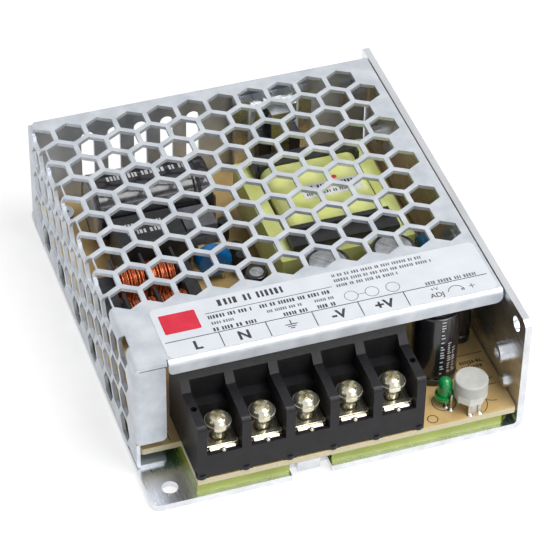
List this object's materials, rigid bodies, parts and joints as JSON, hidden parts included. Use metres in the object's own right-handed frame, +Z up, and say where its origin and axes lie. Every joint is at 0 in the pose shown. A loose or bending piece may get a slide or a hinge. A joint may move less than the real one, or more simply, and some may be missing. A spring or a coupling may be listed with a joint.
{
  "type": "mesh case switching power supply",
  "caption": "Enclosed switching power supply: folded chassis, hexagon mesh cover, circuit board and a barrier block of screw terminals at the front.",
  "frame": {"origin": "middle of the chassis's underside", "axes": "+X right seen from the terminals, +Y to the back end, +Z up"},
  "size_m": [0.082, 0.099, 0.03],
  "materials": {
    "chassis_aluminium": "satin",
    "cover_steel": "satin, zinc plated",
    "bright_steel": "plated",
    "label_film": "satin printed film",
    "insulating_film": "glossy yellow-green film",
    "board_laminate": "satin tan laminate",
    "moulded_black": "satin moulded",
    "nickel_plate": "bright nickel plate",
    "green_lens": "clear tinted",
    "white_plastic": "smooth",
    "grey_plastic": "smooth",
    "fuse_body": "smooth",
    "ferrite": "matt sintered",
    "enamelled_copper": "glossy enamel",
    "black_epoxy": "matt moulded",
    "grey_epoxy": "satin",
    "can_sleeve": "shrunk sleeve",
    "can_aluminium": "bare drawn",
    "blue_epoxy": "glossy dipped",
    "dark_epoxy": "glossy dipped",
    "resistor_lacquer": "lacquered, banded",
    "tinned_copper": "bright tinned",
    "silicone_pad": "matt",
    "yellow_tape": "glossy film tape"
  },
  "bodies": {
    "case": {"chassis": "chassis_aluminium", "cover": "cover_steel", "cover_screw": "bright_steel", "rating_label": "label_film", "insulating_sheet": "insulating_film", "circuit_board": "board_laminate", "board_screws": "bright_steel", "terminal_block": "moulded_black", "terminal_contacts": "nickel_plate", "terminal_clamp_1": "nickel_plate", "terminal_clamp_2": "nickel_plate", "terminal_clamp_3": "nickel_plate", "terminal_clamp_4": "nickel_plate", "terminal_clamp_5": "nickel_plate", "indicator_lens": "green_lens", "trimmer_base": "white_plastic", "fuse": "fuse_body", "choke_core": "ferrite", "choke_bobbins": "black_epoxy", "choke_windings": "enamelled_copper", "film_capacitor": "black_epoxy", "bridge_rectifier": "grey_epoxy", "bulk_capacitor": "can_sleeve", "bulk_capacitor_end": "can_aluminium", "disc_capacitors": "blue_epoxy", "thermistor": "dark_epoxy", "resistors": "resistor_lacquer", "diodes": "black_epoxy", "component_leads": "tinned_copper", "heatsink": "chassis_aluminium", "transistor_tabs": "bright_steel", "transistor_bodies": "black_epoxy", "transistor_clips": "bright_steel", "insulating_pads": "silicone_pad", "transformer_core": "ferrite", "transformer_bobbin": "black_epoxy", "transformer_winding": "yellow_tape", "transformer_tape": "yellow_tape", "transformer_pins": "tinned_copper", "optocoupler": "black_epoxy", "output_capacitors": "can_sleeve", "capacitor_tops": "can_aluminium", "small_capacitors": "can_sleeve", "filter_choke_core": "ferrite", "filter_choke_winding": "enamelled_copper"},
    "washer_1": {"terminal_washer_1": "nickel_plate"},
    "screw_1": {"terminal_screw_1": "nickel_plate"},
    "washer_2": {"terminal_washer_2": "nickel_plate"},
    "screw_2": {"terminal_screw_2": "nickel_plate"},
    "washer_3": {"terminal_washer_3": "nickel_plate"},
    "screw_3": {"terminal_screw_3": "nickel_plate"},
    "washer_4": {"terminal_washer_4": "nickel_plate"},
    "screw_4": {"terminal_screw_4": "nickel_plate"},
    "washer_5": {"terminal_washer_5": "nickel_plate"},
    "screw_5": {"terminal_screw_5": "nickel_plate"},
    "knob": {"trimmer_knob": "grey_plastic"}
  },
  "joints": [
    {"name": "washer_1_lift", "type": "slide", "parent": "case", "child": "washer_1", "axis": [0, 0, 1], "range_m": [-0.00285, 0.00035]},
    {"name": "screw_1_turn", "type": "hinge", "parent": "washer_1", "child": "screw_1", "pos_m": [-0.02545, -0.0445, 0.0162], "axis": [0, 0, 1], "range_deg": [-2060, 256]},
    {"name": "washer_2_lift", "type": "slide", "parent": "case", "child": "washer_2", "axis": [0, 0, 1], "range_m": [-0.00285, 0.00035]},
    {"name": "screw_2_turn", "type": "hinge", "parent": "washer_2", "child": "screw_2", "pos_m": [-0.01595, -0.0445, 0.0162], "axis": [0, 0, 1], "range_deg": [-2060, 256]},
    {"name": "washer_3_lift", "type": "slide", "parent": "case", "child": "washer_3", "axis": [0, 0, 1], "range_m": [-0.00285, 0.00035]},
    {"name": "screw_3_turn", "type": "hinge", "parent": "washer_3", "child": "screw_3", "pos_m": [-0.00645, -0.0445, 0.0162], "axis": [0, 0, 1], "range_deg": [-2060, 256]},
    {"name": "washer_4_lift", "type": "slide", "parent": "case", "child": "washer_4", "axis": [0, 0, 1], "range_m": [-0.00285, 0.00035]},
    {"name": "screw_4_turn", "type": "hinge", "parent": "washer_4", "child": "screw_4", "pos_m": [0.00305, -0.0445, 0.0162], "axis": [0, 0, 1], "range_deg": [-2060, 256]},
    {"name": "washer_5_lift", "type": "slide", "parent": "case", "child": "washer_5", "axis": [0, 0, 1], "range_m": [-0.00285, 0.00035]},
    {"name": "screw_5_turn", "type": "hinge", "parent": "washer_5", "child": "screw_5", "pos_m": [0.01255, -0.0445, 0.0162], "axis": [0, 0, 1], "range_deg": [-2060, 256]},
    {"name": "trimmer_turn", "type": "hinge", "parent": "case", "child": "knob", "pos_m": [0.0301, -0.0455, 0.011], "axis": [0, 0, 1], "range_deg": [-135, 135]}
  ],
  "couplings": [
    {"joint": "screw_1_turn", "follows": "washer_1_lift", "rad_per_m": 12566},
    {"joint": "screw_2_turn", "follows": "washer_2_lift", "rad_per_m": 12566},
    {"joint": "screw_3_turn", "follows": "washer_3_lift", "rad_per_m": 12566},
    {"joint": "screw_4_turn", "follows": "washer_4_lift", "rad_per_m": 12566},
    {"joint": "screw_5_turn", "follows": "washer_5_lift", "rad_per_m": 12566}
  ]
}
